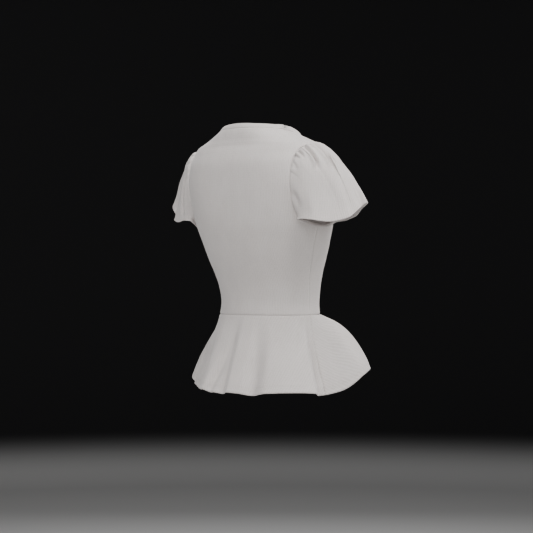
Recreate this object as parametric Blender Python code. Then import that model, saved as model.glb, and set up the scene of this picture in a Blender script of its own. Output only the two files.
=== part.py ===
"""Short-sleeved peplum blouse in its worn shape, seven cut-and-sewn pieces.

Metres, +Z up. The front faces -Y, so the wearer's left is +X. The origin lies
midway between the two neck points, where the blouse is held up on the shoulders.
Bearings are degrees seen from above: 0 wearer's left, 90 centre back, 180 wearer's
right, 270 centre front.
"""

from collections import namedtuple

import bmesh
import bpy
import numpy as np

# Driving sizes
CLOTH = 0.0014  # wall thickness
SEAM_GAP = 0.0003  # between two pieces sewn together
NECK_POINT_HEIGHT = -0.006  # shoulder seam's end at the neckband
SHOULDER_TIP_HEIGHT = -0.037  # shoulder seam's end at the armhole
ARMPIT_HEIGHT = -0.200
WAIST_HEIGHT = -0.385
BACK_NECK_HEIGHT = -0.003  # centre back, under the neckband
FRONT_NECK_HEIGHT = -0.078  # centre front, under the neckband
BACK_TIP_CENTRE = -0.044  # centre back, on the panel row that ends at the shoulder tips
FRONT_TIP_CENTRE = -0.112  # centre front, on the same row
NECKBAND_WIDTH = 0.011
PEPLUM_LENGTH = 0.166  # waist seam to hem, along the cloth

# Mesh density
SIDE_ROWS = 8  # waist to armpit
ARMHOLE_ROWS = 11  # armpit to shoulder tip
SHOULDER_ROWS = 4  # shoulder tip to neck point
PANEL_COLUMNS = 22
SLEEVE_ROWS = 9
UNDERARM_SPLITS, HEAD_SPLITS = 2, 5  # sleeve columns for each armhole row
PEPLUM_ROWS = 7
PEPLUM_COLUMNS = 42
NECKBAND_ROWS = 2
ROW_DIP = 2.2  # how late across a panel its rows turn up to the armhole
HEAD_START, HEAD_END = 0.24, 0.76  # turns round the armhole between which the head lies
SLEEVE_ROW_CROWDING = 1.15  # above 1 the sleeve's rows lie closer near the armhole
SHARP_EDGE = 50  # degrees

# The body part of the blouse by height: half the width, depth behind and before the
# line of the side seams, where that line lies, and how square the section is.
Section = namedtuple("Section", "height half_width back front side_y square")
SECTIONS = [
    Section(-0.3850, 0.1120, 0.0860, 0.092, -0.022, 2.10),
    Section(-0.3600, 0.1085, 0.0855, 0.093, -0.023, 2.10),
    Section(-0.3300, 0.1105, 0.0875, 0.097, -0.021, 2.15),
    Section(-0.3000, 0.1165, 0.0920, 0.105, -0.016, 2.20),
    Section(-0.2700, 0.1260, 0.0980, 0.114, -0.011, 2.25),
    Section(-0.2350, 0.1370, 0.1030, 0.122, -0.006, 2.30),
    Section(-0.2000, 0.1490, 0.1060, 0.121, -0.002, 2.40),
    Section(-0.1500, 0.1590, 0.1020, 0.110, 0.004, 2.60),
    Section(-0.1100, 0.1640, 0.0960, 0.099, 0.008, 2.75),
    Section(-0.0770, 0.1630, 0.0900, 0.091, 0.011, 2.60),
    Section(-0.0500, 0.1560, 0.0800, 0.083, 0.012, 2.40),
    Section(-0.0380, 0.1490, 0.0745, 0.077, 0.012, 2.40),
    Section(-0.0294, 0.1300, 0.0725, 0.074, 0.012, 2.40),
    Section(-0.0175, 0.1020, 0.0665, 0.069, 0.016, 2.40),
    Section(-0.0090, 0.0830, 0.0585, 0.062, 0.022, 2.40),
    Section(0.0000, 0.0720, 0.0560, 0.054, 0.022, 2.40),
    Section(0.0120, 0.0660, 0.0530, 0.048, 0.022, 2.40),
]

# Armhole edge from armpit to shoulder tip, by height: how far the edge lies round the
# body from centre back and from centre front, in degrees.
ArmholeStep = namedtuple("ArmholeStep", "height from_back from_front")
ARMHOLE = [
    ArmholeStep(-0.2000, 90.0, 90.0),
    ArmholeStep(-0.1975, 82.5, 82.0),
    ArmholeStep(-0.1890, 75.0, 73.5),
    ArmholeStep(-0.1750, 68.6, 67.5),
    ArmholeStep(-0.1580, 66.4, 64.2),
    ArmholeStep(-0.1395, 65.3, 62.6),
    ArmholeStep(-0.1200, 64.8, 62.2),
    ArmholeStep(-0.1000, 65.5, 62.8),
    ArmholeStep(-0.0800, 67.5, 64.8),
    ArmholeStep(-0.0620, 71.2, 68.6),
    ArmholeStep(-0.0465, 77.6, 75.6),
    ArmholeStep(-0.0370, 90.0, 90.0),
]

# Each sleeve by turns round the armhole, 0 at the armpit, 0.25 behind, 0.5 on top and
# 0.75 in front: where the cuff hangs (out from the middle, back, up), and how the cloth
# leaves the armhole seam (away from the panel, standing off the body, falling).
SleeveStation = namedtuple("SleeveStation", "turn out back up away stand fall")
SLEEVE_RIGHT = [
    SleeveStation(0.00, 0.170, 0.000, -0.207, 0.000, 0.030, 0.000),
    SleeveStation(0.08, 0.159, 0.034, -0.203, 0.004, 0.026, 0.006),
    SleeveStation(0.14, 0.149, 0.060, -0.193, 0.010, 0.022, 0.020),
    SleeveStation(0.20, 0.165, 0.066, -0.190, 0.020, 0.024, 0.030),
    SleeveStation(0.27, 0.186, 0.063, -0.192, 0.045, 0.036, 0.025),
    SleeveStation(0.34, 0.210, 0.045, -0.196, 0.088, 0.066, 0.006),
    SleeveStation(0.41, 0.229, 0.023, -0.193, 0.116, 0.088, 0.000),
    SleeveStation(0.47, 0.240, 0.004, -0.186, 0.128, 0.100, 0.000),
    SleeveStation(0.52, 0.240, -0.018, -0.173, 0.132, 0.104, 0.000),
    SleeveStation(0.58, 0.243, -0.044, -0.158, 0.128, 0.098, 0.000),
    SleeveStation(0.66, 0.214, -0.062, -0.170, 0.096, 0.070, 0.006),
    SleeveStation(0.74, 0.190, -0.074, -0.183, 0.045, 0.036, 0.025),
    SleeveStation(0.82, 0.168, -0.074, -0.190, 0.020, 0.024, 0.030),
    SleeveStation(0.90, 0.150, -0.058, -0.195, 0.010, 0.022, 0.016),
    SleeveStation(0.95, 0.157, -0.030, -0.203, 0.004, 0.026, 0.006),
]
SLEEVE_LEFT = [
    SleeveStation(0.00, 0.169, 0.000, -0.206, 0.000, 0.030, 0.000),
    SleeveStation(0.08, 0.157, 0.033, -0.200, 0.004, 0.026, 0.006),
    SleeveStation(0.14, 0.149, 0.058, -0.189, 0.010, 0.022, 0.020),
    SleeveStation(0.20, 0.165, 0.064, -0.187, 0.020, 0.024, 0.030),
    SleeveStation(0.27, 0.187, 0.061, -0.190, 0.045, 0.036, 0.025),
    SleeveStation(0.34, 0.209, 0.048, -0.186, 0.085, 0.056, 0.008),
    SleeveStation(0.39, 0.221, 0.037, -0.172, 0.108, 0.070, 0.000),
    SleeveStation(0.44, 0.242, 0.020, -0.153, 0.120, 0.082, 0.000),
    SleeveStation(0.50, 0.245, -0.008, -0.158, 0.128, 0.092, 0.000),
    SleeveStation(0.57, 0.237, -0.036, -0.171, 0.122, 0.086, 0.000),
    SleeveStation(0.64, 0.220, -0.060, -0.180, 0.098, 0.066, 0.008),
    SleeveStation(0.72, 0.196, -0.074, -0.186, 0.050, 0.036, 0.025),
    SleeveStation(0.81, 0.170, -0.073, -0.189, 0.020, 0.024, 0.030),
    SleeveStation(0.90, 0.150, -0.056, -0.192, 0.010, 0.022, 0.016),
    SleeveStation(0.95, 0.156, -0.028, -0.200, 0.004, 0.026, 0.006),
]
SLEEVE_DROP = 0.150  # pull of the hanging cloth at the cuff
SLEEVE_FLARE = 0.46  # outward for each unit down, at the cuff
LONGEST_PULL = 0.95  # share of the straight way from armhole to cuff
HEAD_PUFF = 0.006  # rise of the gathered cloth just past the seam, over the shoulder
PUFF_TURN, PUFF_HALF_WIDTH = 0.52, 0.22  # where the puff lies round the armhole, in turns
PUFF_PEAK, PUFF_LENGTH = 0.06, 0.34  # share down the sleeve of its top, and its fall after
GATHER_START = 0.07  # share down the sleeve where gathers reach their depth

# Gathers over the sleeve head: where each trough lies round the armhole, its half
# width in turns, its depth, and how far down the sleeve it runs (1 is the hem).
Gather = namedtuple("Gather", "turn half_width depth reach")
GATHERS = [
    Gather(0.325, 0.014, 0.0030, 0.24),
    Gather(0.365, 0.015, 0.0045, 0.36),
    Gather(0.408, 0.016, 0.0055, 0.50),
    Gather(0.450, 0.015, 0.0050, 0.58),
    Gather(0.492, 0.014, 0.0040, 0.42),
    Gather(0.532, 0.015, 0.0050, 0.46),
    Gather(0.575, 0.016, 0.0055, 0.52),
    Gather(0.618, 0.015, 0.0045, 0.38),
    Gather(0.660, 0.014, 0.0032, 0.26),
]

# The peplum's hem by bearing: how far it stands out from the waist seam, how much the
# cloth bows out half way down, and how much longer it is cut there.
Flute = namedtuple("Flute", "bearing out bow longer")
FLUTES = [
    Flute(2, 0.092, 0.005, -0.008),
    Flute(18, 0.060, 0.000, -0.006),
    Flute(32, 0.046, -0.002, -0.005),
    Flute(47, 0.047, 0.000, -0.004),
    Flute(62, 0.064, 0.000, -0.002),
    Flute(74, 0.058, -0.002, 0.000),
    Flute(86, 0.048, -0.003, 0.000),
    Flute(99, 0.062, 0.000, 0.000),
    Flute(111, 0.058, 0.000, 0.000),
    Flute(121, 0.048, -0.002, 0.000),
    Flute(137, 0.064, 0.000, 0.000),
    Flute(152, 0.068, 0.000, 0.000),
    Flute(166, 0.062, 0.000, 0.000),
    Flute(176, 0.036, -0.004, 0.000),
    Flute(187, 0.062, 0.002, 0.000),
    Flute(200, 0.096, 0.014, -0.005),
    Flute(213, 0.106, 0.014, -0.006),
    Flute(228, 0.080, 0.006, -0.005),
    Flute(242, 0.052, -0.002, 0.000),
    Flute(257, 0.072, 0.000, 0.000),
    Flute(270, 0.056, 0.000, 0.000),
    Flute(284, 0.074, 0.000, 0.000),
    Flute(298, 0.050, -0.002, 0.000),
    Flute(313, 0.080, 0.004, -0.004),
    Flute(328, 0.096, 0.008, -0.005),
    Flute(345, 0.066, 0.000, -0.006),
]
STEEPEST_FLARE = 0.92  # share of the cloth's length that may run outward

# How the neckband leans, by bearing: degrees up from flat.
Lean = namedtuple("Lean", "bearing up")
NECKBAND_LEAN = [Lean(0, 52), Lean(50, 48), Lean(90, 66), Lean(130, 48), Lean(180, 52), Lean(270, 50)]

# Cloth colour, linear RGB
COLOUR_CLOTH = (0.62, 0.585, 0.555, 1.0)
ROUGHNESS_CLOTH = 0.9


def smooth_table(keys, values):
    """A smooth curve through the rows of a table, with no overshoot between them."""
    keys, values = np.asarray(keys, float), np.asarray(values, float)
    step = np.diff(keys)
    slope = np.diff(values) / step
    before, after = slope[:-1], slope[1:]
    same_way = before * after > 0
    inner = np.where(same_way, 2 * before * after / np.where(same_way, before + after, 1), 0)
    tangent = np.concatenate([slope[:1], inner, slope[-1:]])

    def at(key):
        key = np.clip(key, keys[0], keys[-1])
        i = np.clip(np.searchsorted(keys, key, side="right") - 1, 0, len(step) - 1)
        t = (key - keys[i]) / step[i]
        ends = (1 + 2 * t) * (1 - t) ** 2 * values[i] + t * t * (3 - 2 * t) * values[i + 1]
        bends = t * (1 - t) ** 2 * tangent[i] + t * t * (t - 1) * tangent[i + 1]
        return ends + step[i] * bends

    return at


def round_table(keys, values, period):
    """The same for a table that closes on itself after one period."""
    keys, values = np.asarray(keys, float), np.asarray(values, float)
    curve = smooth_table(
        np.concatenate([keys - period, keys, keys + period]), np.tile(values, 3)
    )
    return lambda key: curve(np.mod(key, period))


def column(table, name):
    return [getattr(row, name) for row in table]


SECTION_AT = {
    name: smooth_table(column(SECTIONS, "height"), column(SECTIONS, name))
    for name in Section._fields[1:]
}


def section_depth(height, behind):
    return np.where(behind, SECTION_AT["back"](height), SECTION_AT["front"](height))


def body_point(bearing, height):
    """The point on the body part at a bearing and height."""
    angle = np.radians(bearing)
    across, along = np.cos(angle), np.sin(angle)
    square = SECTION_AT["square"](height)
    wide = np.abs(across / SECTION_AT["half_width"](height)) ** square
    deep = np.abs(along / section_depth(height, along >= 0)) ** square
    reach = (wide + deep) ** (-1 / square)
    return np.stack([reach * across, SECTION_AT["side_y"](height) + reach * along, height + 0 * reach], -1)


def body_fill(point):
    """Below 1 inside the body part and above 1 outside it."""
    x, y, height = point[..., 0], point[..., 1], point[..., 2]
    along = y - SECTION_AT["side_y"](height)
    square = SECTION_AT["square"](height)
    wide = np.abs(x / SECTION_AT["half_width"](height)) ** square
    return wide + np.abs(along / section_depth(height, along >= 0)) ** square


def body_normal(point):
    """The way out of the body part at a point on it."""
    probe = 0.0004
    slope = [
        body_fill(point + probe * axis) - body_fill(point - probe * axis) for axis in np.eye(3)
    ]
    return unit(np.stack(slope, -1))


def unit(vectors):
    return vectors / np.maximum(np.linalg.norm(vectors, axis=-1, keepdims=True), 1e-12)


def level(vectors):
    """The same directions laid level, for rims that face straight up or down."""
    return unit(vectors * np.array([1.0, 1.0, 0.0]))


def sheet_normal(grid, closed):
    """Normals of a grid of points, rows by columns; closed joins last column to first."""
    if closed:
        along = np.roll(grid, -1, axis=1) - np.roll(grid, 1, axis=1)
    else:
        along = np.gradient(grid, axis=1)
    return unit(np.cross(along, np.gradient(grid, axis=0)))


def cloth_material():
    material = bpy.data.materials.new("cloth")
    material.use_nodes = True
    shader = material.node_tree.nodes["Principled BSDF"]
    shader.inputs["Base Color"].default_value = COLOUR_CLOTH
    shader.inputs["Roughness"].default_value = ROUGHNESS_CLOTH
    shader.inputs["Metallic"].default_value = 0.0
    return material


def make_wall(name, grid, normals, closed):
    """One cloth piece: a wall of even thickness on both sides of a grid of points."""
    rows, columns = grid.shape[:2]
    bm = bmesh.new()
    faces = []
    for offset in (0.5 * CLOTH, -0.5 * CLOTH):
        points = grid + offset * normals
        faces.append([[bm.verts.new(point) for point in row] for row in points])
    outer, inner = faces
    spans = range(columns if closed else columns - 1)

    for i in range(rows - 1):
        for j in spans:
            k = (j + 1) % columns
            bm.faces.new((outer[i][j], outer[i][k], outer[i + 1][k], outer[i + 1][j]))
            bm.faces.new((inner[i][j], inner[i + 1][j], inner[i + 1][k], inner[i][k]))
    for i in (0, rows - 1):
        for j in spans:
            k = (j + 1) % columns
            bm.faces.new((outer[i][k], outer[i][j], inner[i][j], inner[i][k]))
    if not closed:
        for j in (0, columns - 1):
            for i in range(rows - 1):
                bm.faces.new((outer[i][j], outer[i + 1][j], inner[i + 1][j], inner[i][j]))

    bmesh.ops.recalc_face_normals(bm, faces=bm.faces)
    bmesh.ops.triangulate(bm, faces=bm.faces, quad_method="SHORT_EDGE")
    mesh = bpy.data.meshes.new(name)
    bm.to_mesh(mesh)
    bm.free()
    mesh.shade_smooth()
    mesh.set_sharp_from_angle(angle=np.radians(SHARP_EDGE))
    piece = bpy.data.objects.new(name, mesh)
    bpy.context.scene.collection.objects.link(piece)
    return piece


def panel_edge(behind):
    """Heights and half widths of a bodice panel's edge, with the centre's heights."""
    neck_height = BACK_NECK_HEIGHT if behind else FRONT_NECK_HEIGHT
    tip_centre = BACK_TIP_CENTRE if behind else FRONT_TIP_CENTRE
    steps = np.linspace(0, len(ARMHOLE) - 1, ARMHOLE_ROWS + 1)
    stations = np.arange(len(ARMHOLE))
    armhole_height = smooth_table(stations, column(ARMHOLE, "height"))(steps)
    from_centre = column(ARMHOLE, "from_back" if behind else "from_front")
    armhole_angle = smooth_table(stations, from_centre)(steps)

    side = np.linspace(WAIST_HEIGHT + SEAM_GAP / 2, ARMPIT_HEIGHT, SIDE_ROWS + 1)
    shoulder = np.linspace(SHOULDER_TIP_HEIGHT, NECK_POINT_HEIGHT, SHOULDER_ROWS + 1)
    height = np.concatenate([side[:-1], armhole_height, shoulder[1:]])
    angle = np.concatenate([np.full(SIDE_ROWS, 90.0), armhole_angle, np.full(SHOULDER_ROWS, 90.0)])
    angle -= np.degrees(SEAM_GAP / 2 / SECTION_AT["half_width"](height))
    centre = np.concatenate([
        side[:-1],
        np.linspace(ARMPIT_HEIGHT, tip_centre, ARMHOLE_ROWS + 1),
        np.linspace(tip_centre, neck_height, SHOULDER_ROWS + 1)[1:],
    ])
    half_width = body_point(90 - angle if behind else angle - 90, height)[:, 0]
    return height, half_width, centre


def bodice_grid(behind):
    """A bodice panel's points, waist to neck by left to right seen from outside."""
    height, half_width, centre = panel_edge(behind)
    share = np.linspace(-1, 1, PANEL_COLUMNS + 1)
    fullness = np.minimum(half_width / SECTION_AT["half_width"](height), 1.0)
    spread = np.arcsin(fullness)[:, None]
    x = half_width[:, None] * np.sin(share * spread) / np.sin(spread)
    z = centre[:, None] + (height - centre)[:, None] * np.abs(share) ** ROW_DIP
    square = SECTION_AT["square"](z)
    flat = np.maximum(1 - np.abs(x / SECTION_AT["half_width"](z)) ** square, 0)
    depth = section_depth(z, behind) * flat ** (1 / square)
    y = SECTION_AT["side_y"](z) + (depth if behind else -depth)
    grid = np.stack([x, y, z], -1)
    return grid[:, ::-1] if behind else grid


def make_bodice(name, behind):
    grid = bodice_grid(behind)
    normals = body_normal(grid)
    normals[0] = level(normals[0])
    return make_wall(name, grid, normals, closed=False)


def armhole_loop():
    """The left armhole from the armpit up the back edge and down the front edge."""
    first, last = SIDE_ROWS, SIDE_ROWS + ARMHOLE_ROWS
    back = bodice_grid(behind=True)[first : last + 1, 0]
    front = bodice_grid(behind=False)[first : last + 1, -1]
    corners = np.concatenate([
        [(back[0] + front[0]) / 2],
        back[1:-1],
        [(back[-1] + front[-1]) / 2],
        front[-2:0:-1],
    ])
    points = []
    for i, corner in enumerate(corners):
        following = corners[(i + 1) % len(corners)]
        near_head = HEAD_START < (i + 0.5) / len(corners) < HEAD_END
        splits = HEAD_SPLITS if near_head else UNDERARM_SPLITS
        points += [corner + (following - corner) * k / splits for k in range(splits)]
    return np.array(points)


def gather_depth(turn, down):
    """How far the gathers sink the sleeve's surface, by turn and by share of its length."""
    sunk = np.zeros(np.broadcast(turn, down).shape)
    for gather in GATHERS:
        across = np.clip(1 - np.abs(turn - gather.turn) / gather.half_width, 0, 1)
        along = np.clip(1 - down / gather.reach, 0, 1) * np.clip(down / GATHER_START, 0, 1)
        sunk += gather.depth * across * across * (3 - 2 * across) * along
    return sunk


def head_puff(turn, down):
    """How far the gathered head rises off the surface just past the armhole seam."""
    over_head = np.clip(1 - np.abs(turn - PUFF_TURN) / PUFF_HALF_WIDTH, 0, 1)
    fall = np.clip(1 - (down - PUFF_PEAK) / PUFF_LENGTH, 0, 1)
    past_seam = np.clip(down / PUFF_PEAK, 0, 1) * fall
    return HEAD_PUFF * over_head**0.5 * past_seam**1.5


def make_sleeve(name, stations, side):
    """A flutter sleeve from the armhole seam to its wavy cuff; side is 1 left, -1 right."""
    loop = armhole_loop()
    stand_off = body_normal(loop)
    run = unit(np.roll(loop, -1, axis=0) - np.roll(loop, 1, axis=0))
    away = unit(np.cross(stand_off, run))
    length = np.linalg.norm(np.roll(loop, -1, axis=0) - loop, axis=1)
    turn = np.concatenate([[0], np.cumsum(length)[:-1]]) / length.sum()
    at = {
        size: round_table(column(stations, "turn"), column(stations, size), 1.0)(turn)
        for size in SleeveStation._fields[1:]
    }

    start = loop + SEAM_GAP * away
    cuff = np.stack([at["out"], at["back"], at["up"]], -1)
    leave = away * at["away"][:, None] + stand_off * at["stand"][:, None]
    leave[:, 2] -= at["fall"]
    outward = level(cuff - cuff.mean(axis=0))
    arrive = outward * SLEEVE_FLARE - np.array([0, 0, 1.0])
    chord = np.linalg.norm(cuff - start, axis=1)[:, None]
    arrive = unit(arrive) * np.minimum(SLEEVE_DROP, LONGEST_PULL * chord)

    t = (np.linspace(0, 1, SLEEVE_ROWS + 1) ** SLEEVE_ROW_CROWDING)[:, None, None]
    grid = (
        (1 + 2 * t) * (1 - t) ** 2 * start
        + t * (1 - t) ** 2 * leave
        + t * t * (3 - 2 * t) * cuff
        + t * t * (t - 1) * arrive
    )
    normals = sheet_normal(grid, closed=True)
    raised = head_puff(turn[None, :], t[:, :, 0]) - gather_depth(turn[None, :], t[:, :, 0])
    grid = grid + normals * raised[..., None]
    normals = sheet_normal(grid, closed=True)
    normals[0] = stand_off
    if side < 0:
        grid = grid[:, ::-1] * np.array([-1.0, 1.0, 1.0])
        normals = normals[:, ::-1] * np.array([-1.0, 1.0, 1.0])
    return make_wall(name, grid, normals, closed=True)


def make_peplum(name, first, last):
    """A flared half ring from the waist seam to the hem, between two bearings."""
    seam = np.degrees(SEAM_GAP / 2 / SECTION_AT["half_width"](WAIST_HEIGHT))
    bearing = np.linspace(first + seam, last - seam, PEPLUM_COLUMNS + 1)
    waist = body_point(bearing, np.full_like(bearing, WAIST_HEIGHT - SEAM_GAP / 2))
    outward = level(body_normal(waist))
    out, bow, longer = (
        round_table(column(FLUTES, "bearing"), column(FLUTES, size), 360.0)(bearing)
        for size in Flute._fields[1:]
    )

    down = np.linspace(0, 1, PEPLUM_ROWS + 1)[:, None]
    middle = (down[1:] + down[:-1]) / 2
    length = PEPLUM_LENGTH + longer
    spread = np.clip(out + 4 * bow * (1 - 2 * middle), 0, STEEPEST_FLARE * length)
    fall = np.sqrt(length**2 - spread**2)
    start = np.zeros((1, len(bearing)))
    reach = np.concatenate([start, np.cumsum(spread * np.diff(down, axis=0), axis=0)])
    drop = np.concatenate([start, np.cumsum(fall * np.diff(down, axis=0), axis=0)])
    grid = waist + outward * reach[..., None] - np.array([0, 0, 1.0]) * drop[..., None]
    normals = -sheet_normal(grid, closed=False)
    normals[0] = outward
    return make_wall(name, grid, normals, closed=False)


def make_neckband(name):
    """The band round the neckline, leaning in from the panels' top edges."""
    back = bodice_grid(behind=True)[-1]
    front = bodice_grid(behind=False)[-1]
    corner_left, corner_right = (back[0] + front[-1]) / 2, (back[-1] + front[0]) / 2
    edge = np.concatenate([[corner_left], back[1:-1], [corner_right], front[1:-1]])
    bearing = np.degrees(np.arctan2(edge[:, 1] - edge[:, 1].mean(), edge[:, 0]))
    lean = round_table(column(NECKBAND_LEAN, "bearing"), column(NECKBAND_LEAN, "up"), 360.0)
    tilt = np.radians(lean(bearing))[:, None]
    run = unit(np.roll(edge, -1, axis=0) - np.roll(edge, 1, axis=0))
    inward = level(np.cross(np.array([0, 0, 1.0]), run))
    rise = unit(inward * np.cos(tilt) + np.array([0, 0, 1.0]) * np.sin(tilt))
    rise = unit(rise - run * (rise * run).sum(axis=1, keepdims=True))
    steps = SEAM_GAP + np.linspace(0, NECKBAND_WIDTH, NECKBAND_ROWS + 1)
    grid = edge + rise * steps[:, None, None]
    normals = sheet_normal(grid, closed=True)
    normals[0] = body_normal(edge)
    return make_wall(name, grid, normals, closed=True)


def main():
    for old in list(bpy.data.objects):
        bpy.data.objects.remove(old, do_unlink=True)
    pieces = [
        make_bodice("bodice_back", behind=True),
        make_bodice("bodice_front", behind=False),
        make_sleeve("sleeve_left", SLEEVE_LEFT, side=1),
        make_sleeve("sleeve_right", SLEEVE_RIGHT, side=-1),
        make_peplum("peplum_back", 0, 180),
        make_peplum("peplum_front", 180, 360),
        make_neckband("neckband"),
    ]
    cloth = cloth_material()
    for piece in pieces:
        piece.data.materials.append(cloth)


main()
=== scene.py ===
"""Looks of a short-sleeved peplum blouse: thin crinkled-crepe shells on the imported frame.

Metres, +Z up. The front faces -Y, so the wearer's left is +X. Bearings are degrees seen
from above: 0 wearer's left, 90 centre back, 180 wearer's right, 270 centre front.
"""

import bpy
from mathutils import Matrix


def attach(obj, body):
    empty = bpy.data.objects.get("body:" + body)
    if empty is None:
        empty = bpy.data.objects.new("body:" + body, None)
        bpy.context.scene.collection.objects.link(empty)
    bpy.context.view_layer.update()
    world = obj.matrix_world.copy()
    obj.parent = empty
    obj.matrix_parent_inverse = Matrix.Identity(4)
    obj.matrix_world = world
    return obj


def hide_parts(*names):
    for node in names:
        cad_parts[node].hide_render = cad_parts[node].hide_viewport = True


bl_info = {
    "name": "Peplum Blouse",
    "version": (1, 0, 0),
    "blender": (4, 5, 0),
    "location": "3D View > Sidebar > Blouse",
    "description": "Builds the cloth shells, stitching and studio of a peplum blouse",
    "category": "Add Mesh",
}

from collections import namedtuple
from math import pi, radians

import bmesh
import bpy
import numpy as np
from bpy.props import FloatProperty, FloatVectorProperty, PointerProperty
from bpy.types import Operator, Panel, PropertyGroup
from mathutils import Vector, noise

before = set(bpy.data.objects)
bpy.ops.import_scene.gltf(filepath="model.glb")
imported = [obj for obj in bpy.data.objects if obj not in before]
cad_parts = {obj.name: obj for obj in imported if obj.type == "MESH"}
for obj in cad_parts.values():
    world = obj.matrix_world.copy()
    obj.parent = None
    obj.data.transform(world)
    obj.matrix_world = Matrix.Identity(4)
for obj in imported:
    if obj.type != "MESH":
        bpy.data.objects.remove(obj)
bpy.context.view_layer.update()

# Places on the garment, as in its solids
SEAM_GAP = 0.0003
NECK_POINT_HEIGHT = -0.006
SHOULDER_TIP_HEIGHT = -0.037
ARMPIT_HEIGHT = -0.200
WAIST_HEIGHT = -0.385
BACK_NECK_HEIGHT = -0.003
FRONT_NECK_HEIGHT = -0.078
BACK_TIP_CENTRE = -0.044  # height at centre back level with the shoulder tips' row
FRONT_TIP_CENTRE = -0.112
ROW_DIP = 2.2  # how late across a panel its rows turn up to the armhole
STEEPEST_FLARE = 0.92
SLEEVE_DROP = 0.150
SLEEVE_FLARE = 0.46
SLEEVE_ROW_CROWDING = 1.15  # rows lie closer near the armhole
SLEEVE_GRAIN_CENTRE = 0.120  # the sleeves' ribs hang in planes through this line
SLEEVE_GRAIN_RADIUS = 0.095
PEPLUM_GRAIN_TURN = 0.32  # how far the peplum's ribs turn with its ring

# Mesh density
SIDE_ROWS = 72
ARMHOLE_ROWS = 88
SHOULDER_ROWS = 22
PANEL_COLUMNS = 160
SLEEVE_COLUMNS = 340
SLEEVE_ROWS = 84
PEPLUM_COLUMNS = 250
PEPLUM_ROWS = 76
NECKBAND_ROWS = 8
NECK_CORNER_COLUMNS = 8  # columns each side over which the band turns a neck point
FOLD_STEPS = 48

Section = namedtuple("Section", "height half_width back front side_y square")
SECTIONS = [
    Section(-0.3850, 0.1120, 0.0860, 0.092, -0.022, 2.10),
    Section(-0.3600, 0.1085, 0.0855, 0.093, -0.023, 2.10),
    Section(-0.3300, 0.1105, 0.0875, 0.097, -0.021, 2.15),
    Section(-0.3000, 0.1165, 0.0920, 0.105, -0.016, 2.20),
    Section(-0.2700, 0.1260, 0.0980, 0.114, -0.011, 2.25),
    Section(-0.2350, 0.1370, 0.1030, 0.122, -0.006, 2.30),
    Section(-0.2000, 0.1490, 0.1060, 0.121, -0.002, 2.40),
    Section(-0.1500, 0.1590, 0.1020, 0.110, 0.004, 2.60),
    Section(-0.1100, 0.1640, 0.0960, 0.099, 0.008, 2.75),
    Section(-0.0770, 0.1630, 0.0900, 0.091, 0.011, 2.60),
    Section(-0.0500, 0.1560, 0.0800, 0.083, 0.012, 2.40),
    Section(-0.0380, 0.1490, 0.0745, 0.077, 0.012, 2.40),
    Section(-0.0294, 0.1300, 0.0725, 0.074, 0.012, 2.40),
    Section(-0.0175, 0.1020, 0.0665, 0.069, 0.016, 2.40),
    Section(-0.0090, 0.0830, 0.0585, 0.062, 0.022, 2.40),
    Section(0.0000, 0.0720, 0.0560, 0.054, 0.022, 2.40),
    Section(0.0120, 0.0660, 0.0530, 0.048, 0.022, 2.40),
]

# Armhole edge by height, in degrees from centre back and from centre front
ArmholeStep = namedtuple("ArmholeStep", "height from_back from_front")
ARMHOLE = [
    ArmholeStep(-0.2000, 90.0, 90.0),
    ArmholeStep(-0.1975, 82.5, 82.0),
    ArmholeStep(-0.1890, 75.0, 73.5),
    ArmholeStep(-0.1750, 68.6, 67.5),
    ArmholeStep(-0.1580, 66.4, 64.2),
    ArmholeStep(-0.1395, 65.3, 62.6),
    ArmholeStep(-0.1200, 64.8, 62.2),
    ArmholeStep(-0.1000, 65.5, 62.8),
    ArmholeStep(-0.0800, 67.5, 64.8),
    ArmholeStep(-0.0620, 71.2, 68.6),
    ArmholeStep(-0.0465, 77.6, 75.6),
    ArmholeStep(-0.0370, 90.0, 90.0),
]

# A sleeve by turns round the armhole: 0 armpit, 0.25 behind, 0.5 on top, 0.75 in front
SleeveStation = namedtuple("SleeveStation", "turn out back up away stand fall")
SLEEVE_RIGHT = [
    SleeveStation(0.00, 0.170, 0.000, -0.207, 0.000, 0.030, 0.000),
    SleeveStation(0.08, 0.159, 0.034, -0.203, 0.004, 0.026, 0.006),
    SleeveStation(0.14, 0.149, 0.060, -0.193, 0.010, 0.022, 0.020),
    SleeveStation(0.20, 0.165, 0.066, -0.190, 0.020, 0.024, 0.030),
    SleeveStation(0.27, 0.186, 0.063, -0.192, 0.045, 0.036, 0.025),
    SleeveStation(0.34, 0.210, 0.045, -0.196, 0.088, 0.066, 0.006),
    SleeveStation(0.41, 0.229, 0.023, -0.193, 0.116, 0.088, 0.000),
    SleeveStation(0.47, 0.240, 0.004, -0.186, 0.128, 0.100, 0.000),
    SleeveStation(0.52, 0.240, -0.018, -0.173, 0.132, 0.104, 0.000),
    SleeveStation(0.58, 0.243, -0.044, -0.158, 0.128, 0.098, 0.000),
    SleeveStation(0.66, 0.214, -0.062, -0.170, 0.096, 0.070, 0.006),
    SleeveStation(0.74, 0.190, -0.074, -0.183, 0.045, 0.036, 0.025),
    SleeveStation(0.82, 0.168, -0.074, -0.190, 0.020, 0.024, 0.030),
    SleeveStation(0.90, 0.150, -0.058, -0.195, 0.010, 0.022, 0.016),
    SleeveStation(0.95, 0.157, -0.030, -0.203, 0.004, 0.026, 0.006),
]
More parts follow.
